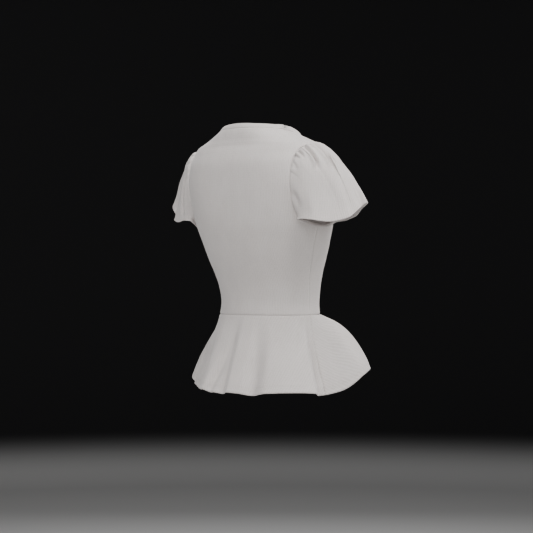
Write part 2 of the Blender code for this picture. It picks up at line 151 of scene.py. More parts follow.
SLEEVE_LEFT = [
    SleeveStation(0.00, 0.169, 0.000, -0.206, 0.000, 0.030, 0.000),
    SleeveStation(0.08, 0.157, 0.033, -0.200, 0.004, 0.026, 0.006),
    SleeveStation(0.14, 0.149, 0.058, -0.189, 0.010, 0.022, 0.020),
    SleeveStation(0.20, 0.165, 0.064, -0.187, 0.020, 0.024, 0.030),
    SleeveStation(0.27, 0.187, 0.061, -0.190, 0.045, 0.036, 0.025),
    SleeveStation(0.34, 0.209, 0.048, -0.186, 0.085, 0.056, 0.008),
    SleeveStation(0.39, 0.221, 0.037, -0.172, 0.108, 0.070, 0.000),
    SleeveStation(0.44, 0.242, 0.020, -0.153, 0.120, 0.082, 0.000),
    SleeveStation(0.50, 0.245, -0.008, -0.158, 0.128, 0.092, 0.000),
    SleeveStation(0.57, 0.237, -0.036, -0.171, 0.122, 0.086, 0.000),
    SleeveStation(0.64, 0.220, -0.060, -0.180, 0.098, 0.066, 0.008),
    SleeveStation(0.72, 0.196, -0.074, -0.186, 0.050, 0.036, 0.025),
    SleeveStation(0.81, 0.170, -0.073, -0.189, 0.020, 0.024, 0.030),
    SleeveStation(0.90, 0.150, -0.056, -0.192, 0.010, 0.022, 0.016),
    SleeveStation(0.95, 0.156, -0.028, -0.200, 0.004, 0.026, 0.006),
]

# The peplum's hem by bearing
Flute = namedtuple("Flute", "bearing out bow longer")
FLUTES = [
    Flute(2, 0.092, 0.005, -0.008),
    Flute(18, 0.060, 0.000, -0.006),
    Flute(32, 0.046, -0.002, -0.005),
    Flute(47, 0.047, 0.000, -0.004),
    Flute(62, 0.064, 0.000, -0.002),
    Flute(74, 0.058, -0.002, 0.000),
    Flute(86, 0.048, -0.003, 0.000),
    Flute(99, 0.062, 0.000, 0.000),
    Flute(111, 0.058, 0.000, 0.000),
    Flute(121, 0.048, -0.002, 0.000),
    Flute(137, 0.064, 0.000, 0.000),
    Flute(152, 0.068, 0.000, 0.000),
    Flute(166, 0.062, 0.000, 0.000),
    Flute(176, 0.036, -0.004, 0.000),
    Flute(187, 0.062, 0.002, 0.000),
    Flute(200, 0.096, 0.014, -0.005),
    Flute(213, 0.106, 0.014, -0.006),
    Flute(228, 0.080, 0.006, -0.005),
    Flute(242, 0.052, -0.002, 0.000),
    Flute(257, 0.072, 0.000, 0.000),
    Flute(270, 0.056, 0.000, 0.000),
    Flute(284, 0.074, 0.000, 0.000),
    Flute(298, 0.050, -0.002, 0.000),
    Flute(313, 0.080, 0.004, -0.004),
    Flute(328, 0.096, 0.008, -0.005),
    Flute(345, 0.066, 0.000, -0.006),
]

Lean = namedtuple("Lean", "bearing up")
NECKBAND_LEAN = [Lean(0, 52), Lean(50, 48), Lean(90, 66), Lean(130, 48), Lean(180, 52), Lean(270, 50)]

# Gathers over the sleeve head, in turns round the armhole; reach 1 is the hem
Gather = namedtuple("Gather", "turn half_width depth reach")
GATHERS = [
    Gather(0.300, 0.008, 0.0010, 0.14),
    Gather(0.325, 0.011, 0.0018, 0.20),
    Gather(0.345, 0.008, 0.0012, 0.12),
    Gather(0.368, 0.012, 0.0024, 0.26),
    Gather(0.388, 0.008, 0.0014, 0.13),
    Gather(0.410, 0.012, 0.0024, 0.30),
    Gather(0.433, 0.008, 0.0014, 0.16),
    Gather(0.455, 0.011, 0.0022, 0.28),
    Gather(0.477, 0.008, 0.0012, 0.12),
    Gather(0.498, 0.010, 0.0018, 0.22),
    Gather(0.520, 0.008, 0.0012, 0.15),
    Gather(0.541, 0.011, 0.0020, 0.27),
    Gather(0.563, 0.008, 0.0013, 0.13),
    Gather(0.585, 0.012, 0.0022, 0.30),
    Gather(0.610, 0.009, 0.0014, 0.16),
    Gather(0.634, 0.011, 0.0018, 0.22),
    Gather(0.658, 0.009, 0.0012, 0.14),
    Gather(0.682, 0.008, 0.0009, 0.11),
]

# A fold: its route over a piece as (across, down) shares, half width and depth in
# metres (a ridge is negative), how far each side of it rises as a share of depth, and
# the shares of its route over which it starts and ends (0 runs off the edge in full).
Fold = namedtuple("Fold", "route width depth lip_a lip_b start end")

# Flat cuts: width, length and area of the cloth of each piece
Cut = namedtuple("Cut", "width length area held rests_on")


def smooth_table(keys, values):
    """A smooth curve through the rows of a table, with no overshoot between them."""
    keys, values = np.asarray(keys, float), np.asarray(values, float)
    step = np.diff(keys)
    slope = np.diff(values) / step
    before, after = slope[:-1], slope[1:]
    same_way = before * after > 0
    inner = np.where(same_way, 2 * before * after / np.where(same_way, before + after, 1), 0)
    tangent = np.concatenate([slope[:1], inner, slope[-1:]])

    def at(key):
        key = np.clip(key, keys[0], keys[-1])
        i = np.clip(np.searchsorted(keys, key, side="right") - 1, 0, len(step) - 1)
        t = (key - keys[i]) / step[i]
        ends = (1 + 2 * t) * (1 - t) ** 2 * values[i] + t * t * (3 - 2 * t) * values[i + 1]
        bends = t * (1 - t) ** 2 * tangent[i] + t * t * (t - 1) * tangent[i + 1]
        return ends + step[i] * bends

    return at


def round_table(keys, values, period):
    """The same for a table that closes on itself after one period."""
    keys, values = np.asarray(keys, float), np.asarray(values, float)
    curve = smooth_table(
        np.concatenate([keys - period, keys, keys + period]), np.tile(values, 3)
    )
    return lambda key: curve(np.mod(key, period))


def column(table, name):
    return [getattr(row, name) for row in table]


def unit(vectors):
    return vectors / np.maximum(np.linalg.norm(vectors, axis=-1, keepdims=True), 1e-12)


def level(vectors):
    """The same directions laid level."""
    return unit(vectors * np.array([1.0, 1.0, 0.0]))


def ease(share):
    """From 0 to 1 with a soft start and end."""
    share = np.clip(share, 0, 1)
    return share * share * (3 - 2 * share)


SECTION_AT = {
    name: smooth_table(column(SECTIONS, "height"), column(SECTIONS, name))
    for name in Section._fields[1:]
}


def section_depth(height, behind):
    return np.where(behind, SECTION_AT["back"](height), SECTION_AT["front"](height))


def body_point(bearing, height):
    """The point on the body part at a bearing and height."""
    angle = np.radians(bearing)
    across, along = np.cos(angle), np.sin(angle)
    square = SECTION_AT["square"](height)
    wide = np.abs(across / SECTION_AT["half_width"](height)) ** square
    deep = np.abs(along / section_depth(height, along >= 0)) ** square
    reach = (wide + deep) ** (-1 / square)
    side_y = SECTION_AT["side_y"](height)
    return np.stack([reach * across, side_y + reach * along, height + 0 * reach], -1)


def panel_depth(x, height, behind):
    """How far a panel lies behind or before the line of the side seams."""
    square = SECTION_AT["square"](height)
    flat = np.maximum(1 - np.abs(x / SECTION_AT["half_width"](height)) ** square, 0)
    return section_depth(height, behind) * flat ** (1 / square)


def body_fill(point):
    """Below 1 inside the body part and above 1 outside it."""
    x, y, height = point[..., 0], point[..., 1], point[..., 2]
    along = y - SECTION_AT["side_y"](height)
    square = SECTION_AT["square"](height)
    wide = np.abs(x / SECTION_AT["half_width"](height)) ** square
    return wide + np.abs(along / section_depth(height, along >= 0)) ** square


def body_normal(point):
    """The way out of the body part at a point on it."""
    probe = 0.0004
    slope = [
        body_fill(point + probe * axis) - body_fill(point - probe * axis) for axis in np.eye(3)
    ]
    return unit(np.stack(slope, -1))


def sheet_normal(grid, closed):
    """Normals of a grid of points; closed means that its last column is its first."""
    along = np.gradient(grid, axis=1)
    if closed:
        along[:, 0] = along[:, -1] = grid[:, 1] - grid[:, -2]
    return unit(np.cross(along, np.gradient(grid, axis=0)))


def panel_edge(behind):
    """Heights and half widths of a bodice panel's edge, with the centre's heights."""
    neck_height = BACK_NECK_HEIGHT if behind else FRONT_NECK_HEIGHT
    tip_centre = BACK_TIP_CENTRE if behind else FRONT_TIP_CENTRE
    steps = np.linspace(0, len(ARMHOLE) - 1, ARMHOLE_ROWS + 1)
    stations = np.arange(len(ARMHOLE))
    armhole_height = smooth_table(stations, column(ARMHOLE, "height"))(steps)
    from_centre = column(ARMHOLE, "from_back" if behind else "from_front")
    armhole_angle = smooth_table(stations, from_centre)(steps)

    side = np.linspace(WAIST_HEIGHT + SEAM_GAP / 2, ARMPIT_HEIGHT, SIDE_ROWS + 1)
    shoulder = np.linspace(SHOULDER_TIP_HEIGHT, NECK_POINT_HEIGHT, SHOULDER_ROWS + 1)
    height = np.concatenate([side[:-1], armhole_height, shoulder[1:]])
    angle = np.concatenate([np.full(SIDE_ROWS, 90.0), armhole_angle, np.full(SHOULDER_ROWS, 90.0)])
    angle -= np.degrees(SEAM_GAP / 2 / SECTION_AT["half_width"](height))
    centre = np.concatenate([
        side[:-1],
        np.linspace(ARMPIT_HEIGHT, tip_centre, ARMHOLE_ROWS + 1),
        np.linspace(tip_centre, neck_height, SHOULDER_ROWS + 1)[1:],
    ])
    half_width = body_point(90 - angle if behind else angle - 90, height)[:, 0]
    return height, half_width, centre


def bodice_grid(behind):
    """A bodice panel's points, waist to neck by left to right seen from outside."""
    height, half_width, centre = panel_edge(behind)
    share = np.linspace(-1, 1, PANEL_COLUMNS + 1)
    fullness = np.minimum(half_width / SECTION_AT["half_width"](height), 1.0)
    spread = np.arcsin(fullness)[:, None]
    x = half_width[:, None] * np.sin(share * spread) / np.sin(spread)
    z = centre[:, None] + (height - centre)[:, None] * np.abs(share) ** ROW_DIP
    depth = panel_depth(x, z, behind)
    y = SECTION_AT["side_y"](z) + (depth if behind else -depth)
    grid = np.stack([x, y, z], -1)
    return grid[:, ::-1] if behind else grid


def armhole_loop():
    """The left armhole, evenly spaced from the armpit up the back and down the front."""
    first, last = SIDE_ROWS, SIDE_ROWS + ARMHOLE_ROWS
    back = bodice_grid(behind=True)[first : last + 1, 0]
    front = bodice_grid(behind=False)[first : last + 1, -1]
    armpit = (back[0] + front[0]) / 2
    tip = (back[-1] + front[-1]) / 2
    corners = np.concatenate([[armpit], back[1:-1], [tip], front[-2:0:-1], [armpit]])
    length = np.linalg.norm(np.diff(corners, axis=0), axis=1)
    turn = np.concatenate([[0], np.cumsum(length)]) / length.sum()
    even = np.linspace(0, 1, SLEEVE_COLUMNS + 1)
    return np.stack([np.interp(even, turn, corners[:, axis]) for axis in range(3)], -1)


def gather_depth(turn, down):
    """How far the small gathers sink the sleeve's surface below its seam."""
    sunk = np.zeros(np.broadcast(turn, down).shape)
    for gather in GATHERS:
        across = np.exp(-(((turn - gather.turn) / (0.62 * gather.half_width)) ** 2))
        sunk += gather.depth * across * ease(1 - down / gather.reach) * ease(down / 0.045 + 0.35)
    return sunk


def head_puff(turn, down, rise):
    """How far the gathered head rises off the surface just past the armhole seam."""
    over_head = np.clip(1 - np.abs(turn - 0.52) / 0.22, 0, 1)
    past_seam = np.clip(down / 0.06, 0, 1) * np.clip(1 - (down - 0.06) / 0.34, 0, 1)
    return rise * over_head**0.5 * past_seam**1.5


def sleeve_grid(stations, puff):
    """A left sleeve's points, armhole to hem by turns, and how the armhole stands off."""
    loop = armhole_loop()
    stand_off = body_normal(loop)
    run = np.gradient(loop, axis=0)
    run[0] = run[-1] = loop[1] - loop[-2]
    away = unit(np.cross(stand_off, unit(run)))
    turn = np.linspace(0, 1, len(loop))
    at = {
        size: round_table(column(stations, "turn"), column(stations, size), 1.0)(turn)
        for size in SleeveStation._fields[1:]
    }
    start = loop + SEAM_GAP * away
    cuff = np.stack([at["out"], at["back"], at["up"]], -1)
    leave = away * at["away"][:, None] + stand_off * at["stand"][:, None]
    leave[:, 2] -= at["fall"]
    outward = level(cuff - cuff[:-1].mean(axis=0))
    arrive = outward * SLEEVE_FLARE - np.array([0, 0, 1.0])
    chord = np.linalg.norm(cuff - start, axis=1)[:, None]
    arrive = unit(arrive) * np.minimum(SLEEVE_DROP, 0.95 * chord)

    t = (np.linspace(0, 1, SLEEVE_ROWS + 1) ** SLEEVE_ROW_CROWDING)[:, None, None]
    grid = (
        (1 + 2 * t) * (1 - t) ** 2 * start
        + t * (1 - t) ** 2 * leave
        + t * t * (3 - 2 * t) * cuff
        + t * t * (t - 1) * arrive
    )
    down = t[:, :, 0]
    raised = head_puff(turn[None, :], down, puff) - gather_depth(turn[None, :], down)
    grid = grid + sheet_normal(grid, closed=True) * raised[..., None]
    return grid, turn, down, stand_off


def peplum_grid(first, last, length):
    """A flared half ring's points, waist seam to hem by bearing."""
    seam = np.degrees(SEAM_GAP / 2 / SECTION_AT["half_width"](WAIST_HEIGHT))
    bearing = np.linspace(first + seam, last - seam, PEPLUM_COLUMNS + 1)
    waist = body_point(bearing, np.full_like(bearing, WAIST_HEIGHT - SEAM_GAP / 2))
    outward = level(body_normal(waist))
    out, bow, longer = (
        round_table(column(FLUTES, "bearing"), column(FLUTES, size), 360.0)(bearing)
        for size in Flute._fields[1:]
    )
    down = np.linspace(0, 1, PEPLUM_ROWS + 1)[:, None]
    middle = (down[1:] + down[:-1]) / 2
    length = length + longer
    spread = np.clip(out + 4 * bow * (1 - 2 * middle), 0, STEEPEST_FLARE * length)
    fall = np.sqrt(length**2 - spread**2)
    start = np.zeros((1, len(bearing)))
    reach = np.concatenate([start, np.cumsum(spread * np.diff(down, axis=0), axis=0)])
    drop = np.concatenate([start, np.cumsum(fall * np.diff(down, axis=0), axis=0)])
    grid = waist + outward * reach[..., None] - np.array([0, 0, 1.0]) * drop[..., None]
    return grid, bearing, reach, drop


def soften_round(values, reach):
    """Averages each row of a closed loop's values with its neighbours on both sides."""
    loop = values[:-1]
    total = sum(np.roll(loop, step, axis=0) for step in range(-reach, reach + 1))
    mean = total / (2 * reach + 1)
    return np.concatenate([mean, mean[:1]])


def surface_at(grid, across, down):
    """Points of a grid at shares of its columns and rows."""
    rows, columns = grid.shape[0] - 1, grid.shape[1] - 1
    x, y = np.clip(across, 0, 1) * columns, np.clip(down, 0, 1) * rows
    j, i = np.minimum(x.astype(int), columns - 1), np.minimum(y.astype(int), rows - 1)
    u, v = (x - j)[:, None], (y - i)[:, None]
    upper = grid[i, j] * (1 - u) + grid[i, j + 1] * u
    lower = grid[i + 1, j] * (1 - u) + grid[i + 1, j + 1] * u
    return upper * (1 - v) + lower * v


def fold_relief(grid, normals, folds):
    """How far the listed folds raise (or sink, below 0) each point of a grid."""
    relief = np.zeros(grid.shape[:2])
    for fold in folds:
        route = np.array(fold.route, float)
        stops = np.linspace(0, 1, len(route))
        steps = np.linspace(0, 1, FOLD_STEPS)
        across, down = (smooth_table(stops, route[:, k])(steps) for k in range(2))
        path = surface_at(grid, across, down)
        way = unit(np.gradient(path, axis=0))
        side = unit(np.cross(unit(surface_at(normals, across, down)), way))
        away = grid[:, :, None, :] - path
        nearest = np.argmin((away**2).sum(-1), axis=2)
        away = np.take_along_axis(away, nearest[..., None, None], axis=2)[:, :, 0]
        offset = (away * side[nearest]).sum(-1)
        height = np.abs((away * unit(normals)).sum(-1))
        stride = np.linalg.norm(path[-1] - path[0]) / FOLD_STEPS
        run = (nearest + (away * way[nearest]).sum(-1) / max(stride, 1e-5)) / (FOLD_STEPS - 1)
        run = np.clip(run, 0, 1)
        strength = ease(run / max(fold.start, 1e-3)) * ease((1 - run) / max(fold.end, 1e-3))
        strength = np.where(fold.end > 0, strength, ease(run / max(fold.start, 1e-3)))
        strength = strength * np.exp(-((height / 0.03) ** 2))
        trough = np.exp(-((offset / fold.width) ** 2))
        lip_a = np.exp(-(((offset - 1.9 * fold.width) / (1.1 * fold.width)) ** 2))
        lip_b = np.exp(-(((offset + 1.9 * fold.width) / (1.1 * fold.width)) ** 2))
        relief += fold.depth * strength * (fold.lip_a * lip_a + fold.lip_b * lip_b - trough)
    return relief


def ripple(grid, across, along, height, seed):
    """Small uneven waves of resting cloth, with their sizes across and along the piece."""
    shift = Vector((seed * 7.3, seed * 3.1, seed * 5.7))
    stretch = Vector((1 / across, 1 / across, 1 / along))
    values = [
        noise.noise(Vector(point) * stretch + shift) for point in grid.reshape(-1, 3)
    ]
    return height * np.array(values).reshape(grid.shape[:2])


def lengths(grid, axis):
    """Lengths along a grid's rows or columns from their first points."""
    step = np.linalg.norm(np.diff(grid, axis=axis), axis=-1)
    first = np.zeros_like(np.take(step, [0], axis=axis))
    return np.concatenate([first, np.cumsum(step, axis=axis)], axis=axis)


def seam_dip(distance, depth):
    """Cloth that dives into a seam, by distance from it."""
    return -depth * np.exp(-distance / 0.0014) + 0.35 * depth * np.exp(-(((distance - 0.0042) / 0.0022) ** 2))


def border_of(rows, columns):
    """Grid places round the edge of an open piece, in order."""
    top = [(0, j) for j in range(columns - 1)]
    right = [(i, columns - 1) for i in range(rows - 1)]
    bottom = [(rows - 1, j) for j in range(columns - 1, 0, -1)]
    left = [(i, 0) for i in range(rows - 1, 0, -1)]
    return np.array(top + right + bottom + left)


def edge_outward(grid, border):
    """The way off the cloth at each place of its border."""
    rows, columns = grid.shape[0] - 1, grid.shape[1] - 1
    inward = border.copy()
    inward[:, 0] = np.clip(border[:, 0], 1, rows - 1)
    inward[:, 1] = np.clip(border[:, 1], 1, columns - 1)
    return unit(grid[border[:, 0], border[:, 1]] - grid[inward[:, 0], inward[:, 1]])


def sew_shell(name, grid, normals, grain, thickness, extra, material):
    """A thin closed shell with rounded edges; extra is cloth folded under, by place."""
    rows, columns = grid.shape[:2]
    outer = grid + normals * (thickness / 2)
    inner = grid - normals * (thickness / 2 + extra[..., None])
    border = border_of(rows, columns)
    rim_outer = outer[border[:, 0], border[:, 1]]
    rim_inner = inner[border[:, 0], border[:, 1]]
    rim = (rim_outer + rim_inner) / 2 + edge_outward(grid, border) * (0.42 * thickness)
    points = np.concatenate([outer.reshape(-1, 3), inner.reshape(-1, 3), rim])

    place = np.arange(rows * columns).reshape(rows, columns)
    a, b, c, d = place[:-1, :-1], place[:-1, 1:], place[1:, 1:], place[1:, :-1]
    face_out = np.stack([a, b, c, d], -1).reshape(-1, 4)
    face_in = np.stack([a, d, c, b], -1).reshape(-1, 4) + rows * columns
    ring = place[border[:, 0], border[:, 1]]
    following = np.roll(ring, -1)
    middle = np.arange(len(ring)) + 2 * rows * columns
    after = np.roll(middle, -1)
    rim_a = np.stack([ring, middle, after, following], -1)
    rim_b = np.stack([middle, ring + rows * columns, following + rows * columns, after], -1)
    faces = np.concatenate([face_out, face_in, rim_a, rim_b])

    mesh = bpy.data.meshes.new(name)
    mesh.from_pydata(points.tolist(), [], faces.tolist())
    flat = grain.reshape(-1, 2)
    across_along = np.concatenate([flat, flat, grain[border[:, 0], border[:, 1]]])
    values = np.concatenate([across_along, np.zeros((len(points), 1))], axis=1)
    attribute = mesh.attributes.new("grain", "FLOAT_VECTOR", "POINT")
    attribute.data.foreach_set("vector", values.astype(np.float32).ravel())
    bm = bmesh.new()
    bm.from_mesh(mesh)
    bmesh.ops.recalc_face_normals(bm, faces=bm.faces)
    bm.to_mesh(mesh)
    bm.free()
    mesh.shade_smooth()
    mesh.materials.append(material)
    shell = bpy.data.objects.new(name, mesh)
    bpy.context.scene.collection.objects.link(shell)
    return shell


def put_on_frame(shell, node):
    """The shell stands for its node: it hangs on the frame's root, and the node's part is hidden."""
    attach(shell, "root")
    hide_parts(node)


def new_material(name):
    material = bpy.data.materials.new(name)
    material.use_nodes = True
    return material, material.node_tree.nodes, material.node_tree.links


def crepe_material(looks):
    """Matt crinkle crepe: uneven lengthwise ribs, small puckers and soft mottling; painted shade darkens the
    colour in the valleys of the ribs and puckers.
    """
    material, nodes, links = new_material("crinkle_crepe")
    shader = nodes["Principled BSDF"]
    shader.inputs["Roughness"].default_value = looks.roughness
    shader.inputs["Sheen Weight"].default_value = looks.sheen
    shader.inputs["Sheen Roughness"].default_value = 0.45
    shader.inputs["Specular IOR Level"].default_value = 0.25

    grain = nodes.new("ShaderNodeAttribute")
    grain.attribute_name = "grain"
    parts = nodes.new("ShaderNodeSeparateXYZ")
    links.new(grain.outputs["Vector"], parts.inputs["Vector"])

    def math(operation, first, second=0.0):
        node = nodes.new("ShaderNodeMath")
        node.operation = operation
        for socket, value in zip(node.inputs, (first, second)):
            if isinstance(value, (int, float)):
                socket.default_value = value
            else:
                links.new(value, socket)
        return node.outputs[0]

    def cloth_noise(across, along, detail, roughness):
        spread = nodes.new("ShaderNodeMapping")
        spread.inputs["Scale"].default_value = (1 / across, 1 / along, 1.0)
        links.new(grain.outputs["Vector"], spread.inputs["Vector"])
        texture = nodes.new("ShaderNodeTexNoise")
        texture.inputs["Scale"].default_value = 1.0
        texture.inputs["Detail"].default_value = detail
        texture.inputs["Roughness"].default_value = roughness
        links.new(spread.outputs["Vector"], texture.inputs["Vector"])
        return texture.outputs["Fac"]

    wander = cloth_noise(0.006, 0.030, 2.0, 0.5)
    pucker = cloth_noise(0.0016, 0.0040, 2.0, 0.6)
    mottle = cloth_noise(0.030, 0.060, 3.0, 0.55)

    ribs_moved = math("ADD", parts.outputs["X"], math("MULTIPLY", wander, looks.rib_pitch * 1.4))
    rib_wave = math("SINE", math("MULTIPLY", ribs_moved, 2 * pi / looks.rib_pitch))
    rib = math("MULTIPLY_ADD", rib_wave, 0.5)
    rib.node.inputs[2].default_value = 0.5
    tick_wave = math("SINE", math("MULTIPLY", parts.outputs["Y"], 2 * pi / looks.tick_pitch))
    relief = math("ADD", math("MULTIPLY", rib, 0.44), math("MULTIPLY", pucker, 1.0))
    relief = math("ADD", relief, math("MULTIPLY", tick_wave, 0.04))

    bump = nodes.new("ShaderNodeBump")
    bump.inputs["Strength"].default_value = looks.relief_strength
    bump.inputs["Distance"].default_value = looks.relief_depth
    links.new(relief, bump.inputs["Height"])
    links.new(bump.outputs["Normal"], shader.inputs["Normal"])

    # Painted shade: the colour runs from the cloth colour on the raised relief to the darker valley colour in
    # its hollows, where shade would fall; random mottling also shifts it.
    tone = nodes.new("ShaderNodeMix")
    tone.data_type = "RGBA"
    tone.inputs["A"].default_value = (*looks.painted_valley_shade, 1.0)
    tone.inputs["B"].default_value = (*looks.cloth, 1.0)
    shade_and_mottle = math("ADD", math("MULTIPLY", relief, 0.75), math("MULTIPLY", mottle, 0.5))
    links.new(math("MINIMUM", shade_and_mottle, 1.0), tone.inputs["Factor"])
    links.new(tone.outputs["Result"], shader.inputs["Base Color"])
    return material


def thread_material(looks):
    """Polyester thread with its twist."""
    material, nodes, links = new_material("sewing_thread")
    shader = nodes["Principled BSDF"]
    shader.inputs["Roughness"].default_value = 0.6
    shader.inputs["Sheen Weight"].default_value = 0.2
    twist = nodes.new("ShaderNodeTexWave")
    twist.bands_direction = "DIAGONAL"
    twist.inputs["Scale"].default_value = 420.0
    place = nodes.new("ShaderNodeTexCoord")
    links.new(place.outputs["Object"], twist.inputs["Vector"])
    tone = nodes.new("ShaderNodeMix")
    tone.data_type = "RGBA"
    tone.inputs["A"].default_value = (*[0.8 * value for value in looks.thread], 1.0)
    tone.inputs["B"].default_value = (*looks.thread, 1.0)
    links.new(twist.outputs["Fac"], tone.inputs["Factor"])
    links.new(tone.outputs["Result"], shader.inputs["Base Color"])
    return material


def cloth_of(looks):
    return bpy.data.materials.get("crinkle_crepe") or crepe_material(looks)


def thread_of(looks):
    return bpy.data.materials.get("sewing_thread") or thread_material(looks)


def girth_from_centre(x, height, behind):
    """Length round the body from the centre line, at one height, for the ribs."""
    share = np.linspace(0, 1, 17)
    xs = x[..., None] * share
    y = panel_depth(xs, height[..., None], behind)
    step = np.hypot(np.diff(xs, axis=-1), np.diff(y, axis=-1)).sum(-1)
    return np.sign(x) * step


def line_near_edge(grid, normals, distance):
    """The line on the outside of a piece at a distance above its last row."""
    from_hem = lengths(grid[::-1], 0)
    flipped, flipped_normals = grid[::-1], normals[::-1]
    points, stand = [], []
    for j in range(grid.shape[1]):
        points.append([np.interp(distance, from_hem[:, j], flipped[:, j, k]) for k in range(3)])
        stand.append([np.interp(distance, from_hem[:, j], flipped_normals[:, j, k]) for k in range(3)])
    return np.array(points), unit(np.array(stand))


def stitch_row(points, stand, length, gap, thread):
    """Vertices and faces of one row of stitches along a line."""
    run = np.concatenate([[0], np.cumsum(np.linalg.norm(np.diff(points, axis=0), axis=1))])
    count = max(int(run[-1] / (length + gap)), 2)
    pitch = run[-1] / count
    middle = (np.arange(count) + 0.5) * pitch
    place, before, after, up = (
        np.stack([np.interp(at, run, line[:, k]) for k in range(3)], -1)
        for at, line in (
            (middle, points),
            (middle - length / 2, points),
            (middle + length / 2, points),
            (middle, stand),
        )
    )
    way = unit(after - before)
    up = unit(up - way * (up * way).sum(-1, keepdims=True))
    side = np.cross(up, way)
    along = np.array([-0.5, -0.36, 0.0, 0.36, 0.5]) * length
    size = np.array([0.35, 0.85, 1.0, 0.85, 0.35]) * thread / 2
    lift = np.array([-0.9, -0.1, 0.25, -0.1, -0.9]) * thread / 2
    turns = np.linspace(0, 2 * pi, 6, endpoint=False)
    rings = (
        place[:, None, None]
        + way[:, None, None] * along[:, None, None]
        + side[:, None, None] * (size[:, None] * np.cos(turns))[..., None]
        + up[:, None, None] * (size[:, None] * np.sin(turns) + lift[:, None])[..., None]
    )
    each = 5 * 6
    faces = []
    for ring in range(4):
        for k in range(6):
            m = (k + 1) % 6
            faces.append([ring * 6 + k, ring * 6 + m, ring * 6 + 6 + m, ring * 6 + 6 + k])
    quads = np.array(faces)[None] + (np.arange(count) * each)[:, None, None]
    caps = [[base + k for k in ends] for base in range(0, count * each, each) for ends in (range(5, -1, -1), range(24, 30))]
    return rings.reshape(-1, 3), quads.reshape(-1, 4).tolist() + caps


def sew_stitches(name, lines, sizes, looks):
    """One object for the rows of stitches of a piece, each a (points, stand) line."""
    points, faces = [], []
    for line, stand in lines:
        surface = line + stand * (sizes.cloth_thickness / 2)
        row_points, row_faces = stitch_row(
            surface, stand, sizes.stitch_length, sizes.stitch_gap, sizes.thread
        )
        start = sum(len(part) for part in points)
        points.append(row_points)
        faces += [[start + k for k in face] for face in row_faces]
    mesh = bpy.data.meshes.new(name)
    mesh.from_pydata(np.concatenate(points).tolist(), [], faces)
    mesh.shade_smooth()
    mesh.materials.append(thread_of(looks))
    stitches = bpy.data.objects.new(name, mesh)
    bpy.context.scene.collection.objects.link(stitches)
    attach(stitches, "root")
    return stitches


BACK_FOLDS = [
    Fold(((0.20, 0.30), (0.34, 0.25), (0.48, 0.22)), 0.010, 0.0007, 0.4, 0.4, 0.3, 0.4),
    Fold(((0.80, 0.27), (0.66, 0.23), (0.55, 0.20)), 0.009, 0.0006, 0.4, 0.4, 0.3, 0.4),
]
FRONT_FOLDS = [
    Fold(((0.16, 0.50), (0.27, 0.55), (0.40, 0.57)), 0.010, 0.0008, 0.4, 0.4, 0.3, 0.4),
    Fold(((0.84, 0.47), (0.72, 0.53), (0.60, 0.56)), 0.011, 0.0007, 0.4, 0.4, 0.3, 0.4),
]
SLEEVE_RIGHT_FOLDS = [
    Fold(((0.394, 0.03), (0.388, 0.13), (0.372, 0.25)), 0.0028, 0.0048, 0.7, 0.4, 0.2, 0.5),
    Fold(((0.424, 0.02), (0.428, 0.20), (0.424, 0.33), (0.386, 0.45)), 0.0030, 0.0066, 0.7, 0.5, 0.15, 0.35),
    Fold(((0.466, 0.03), (0.468, 0.25), (0.471, 0.38), (0.471, 0.53)), 0.0032, 0.0062, 0.7, 0.5, 0.2, 0.4),
    Fold(((0.446, 0.02), (0.450, 0.11), (0.448, 0.20)), 0.0025, 0.0034, 0.5, 0.5, 0.2, 0.6),
    Fold(((0.340, 0.03), (0.335, 0.11), (0.322, 0.20)), 0.0028, 0.0016, 0.4, 0.4, 0.2, 0.6),
    Fold(((0.560, 0.30), (0.556, 0.60), (0.552, 1.00)), 0.0090, 0.0050, 0.6, 0.2, 0.6, 0.0),
    Fold(((0.230, 0.10), (0.215, 0.35), (0.180, 0.70)), 0.0060, 0.0030, 0.3, 0.3, 0.3, 0.5),
    Fold(((0.390, 0.45), (0.385, 0.70), (0.372, 1.00)), 0.0120, 0.0022, 0.3, 0.3, 0.6, 0.0),
    Fold(((0.620, 0.05), (0.625, 0.30), (0.640, 0.55)), 0.0040, 0.0034, 0.4, 0.4, 0.2, 0.5),
    Fold(((0.580, 0.03), (0.584, 0.22), (0.600, 0.38)), 0.0032, 0.0028, 0.4, 0.4, 0.2, 0.5),
]
SLEEVE_LEFT_FOLDS = [
    Fold(((0.330, 0.12), (0.290, 0.35), (0.250, 0.60), (0.215, 0.92)), 0.0050, 0.0060, 0.5, 0.3, 0.3, 0.3),
    Fold(((0.420, 0.03), (0.414, 0.22), (0.398, 0.42)), 0.0034, 0.0036, 0.4, 0.4, 0.2, 0.4),
    Fold(((0.462, 0.03), (0.460, 0.20), (0.446, 0.36)), 0.0030, 0.0030, 0.4, 0.4, 0.2, 0.5),
    Fold(((0.505, 0.03), (0.512, 0.24), (0.500, 0.48)), 0.0036, 0.0036, 0.4, 0.4, 0.2, 0.4),
    Fold(((0.556, 0.03), (0.566, 0.22), (0.588, 0.40)), 0.0032, 0.0032, 0.4, 0.4, 0.2, 0.5),
    Fold(((0.606, 0.04), (0.616, 0.26), (0.640, 0.50)), 0.0036, 0.0030, 0.4, 0.4, 0.2, 0.5),
    Fold(((0.395, 0.40), (0.392, 0.70), (0.384, 1.00)), 0.0080, 0.0040, 0.5, 0.3, 0.6, 0.0),
    Fold(((0.560, 0.50), (0.568, 0.75), (0.574, 1.00)), 0.0110, 0.0030, 0.3, 0.3, 0.6, 0.0),
]
